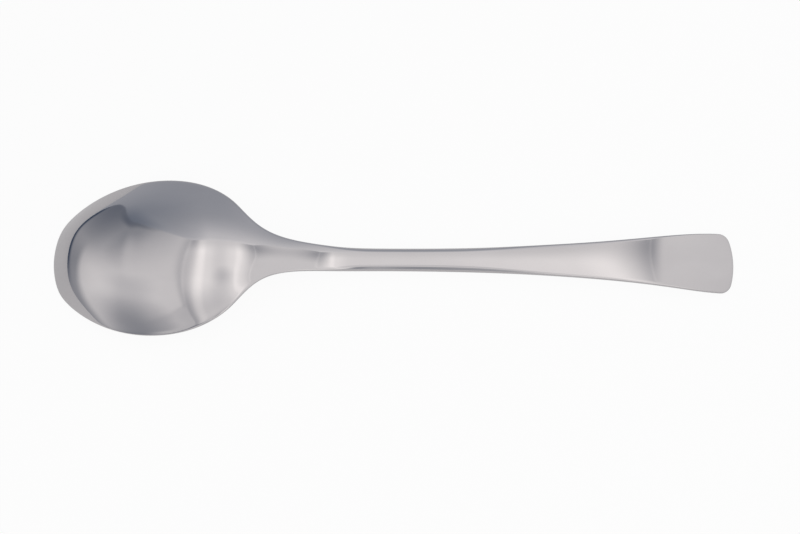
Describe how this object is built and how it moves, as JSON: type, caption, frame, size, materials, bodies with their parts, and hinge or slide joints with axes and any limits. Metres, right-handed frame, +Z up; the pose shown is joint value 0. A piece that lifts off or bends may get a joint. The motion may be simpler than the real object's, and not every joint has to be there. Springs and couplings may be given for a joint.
{
  "type": "curry spoon",
  "caption": "Curry spoon lying face down: broad blunt-tipped bowl, narrowing neck and a slim flat stem that flares to a rounded handle end, in polished stainless steel.",
  "frame": {"origin": "middle of the spoon's length and width, on the surface that it lies on face down", "axes": "+X from the bowl's tip towards the handle's end, +Y across the bowl, +Z up out of the bowl's back"},
  "size_m": [0.1904, 0.0448, 0.0131],
  "materials": {
    "steel": "polished"
  },
  "bodies": {
    "root": {"spoon": "steel"}
  },
  "joints": []
}
